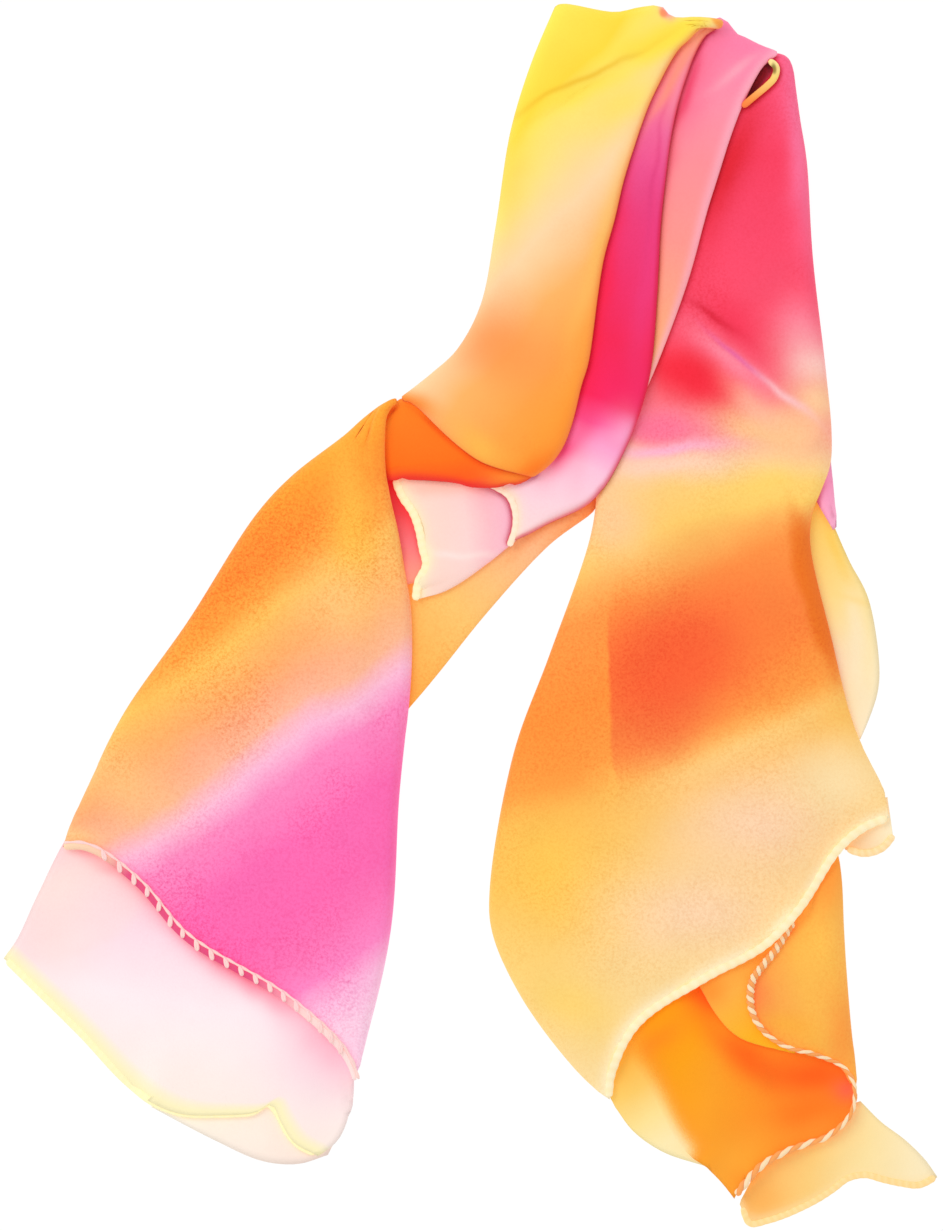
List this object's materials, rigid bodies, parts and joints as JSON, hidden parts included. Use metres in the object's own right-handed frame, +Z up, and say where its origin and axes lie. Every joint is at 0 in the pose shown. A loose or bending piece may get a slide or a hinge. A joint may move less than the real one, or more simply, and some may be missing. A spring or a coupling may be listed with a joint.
{
  "type": "chiffon scarf",
  "caption": "Square chiffon scarf, dip-dyed yellow, orange and pink, with rolled hems, pleated into a band, bent into an upside-down V and laid flat.",
  "frame": {"origin": "middle of the underside, on the surface that the scarf lies on", "axes": "+X to the right and +Y towards the top of the folded scarf, both along the surface; +Z up from the surface"},
  "size_m": [0.312, 0.4084, 0.0145],
  "materials": {
    "dye_yellow": "matt, semi-sheer chiffon with a fine crepe grain",
    "dye_pale_yellow": "matt, semi-sheer chiffon with a fine crepe grain",
    "dye_orange": "matt, semi-sheer chiffon with a fine crepe grain",
    "dye_deep_orange": "matt, semi-sheer chiffon with a fine crepe grain",
    "dye_peach": "matt, semi-sheer chiffon with a fine crepe grain",
    "dye_salmon": "matt, semi-sheer chiffon with a fine crepe grain",
    "dye_magenta": "matt, semi-sheer chiffon with a fine crepe grain",
    "dye_pale_pink": "matt, semi-sheer chiffon with a fine crepe grain",
    "hem_cream": "matt rolled hem, whip-stitched"
  },
  "bodies": {
    "root": {"core_upper": "dye_salmon", "core_left": "dye_orange", "core_right": "dye_peach", "bottom_flap": "dye_pale_yellow", "right_back_layer": "dye_pale_yellow", "right_back_flap": "dye_pale_yellow", "right_back_sliver": "dye_pale_pink", "left_under_layer": "dye_pale_pink", "left_back_layer": "dye_pale_pink", "left_back_strip": "dye_peach", "inner_back_panel": "dye_deep_orange", "inner_fold_panel": "dye_orange", "inner_front_panel": "dye_orange", "corner_curl": "dye_pale_yellow", "left_inner_strip": "dye_salmon", "pale_layer": "dye_pale_pink", "right_panel": "dye_peach", "salmon_band": "dye_salmon", "magenta_band": "dye_magenta", "turn_valley": "dye_deep_orange", "front_fall": "dye_yellow", "left_panel": "dye_orange", "hem_bottom_flap": "hem_cream", "hem_left_back": "hem_cream", "hem_inner": "hem_cream", "hem_pale_layer": "hem_cream", "hem_corner_curl": "hem_cream", "hem_right_panel": "hem_cream", "hem_fold_loop": "dye_yellow", "hem_magenta_band": "hem_cream", "hem_left_panel": "hem_cream"}
  },
  "joints": []
}
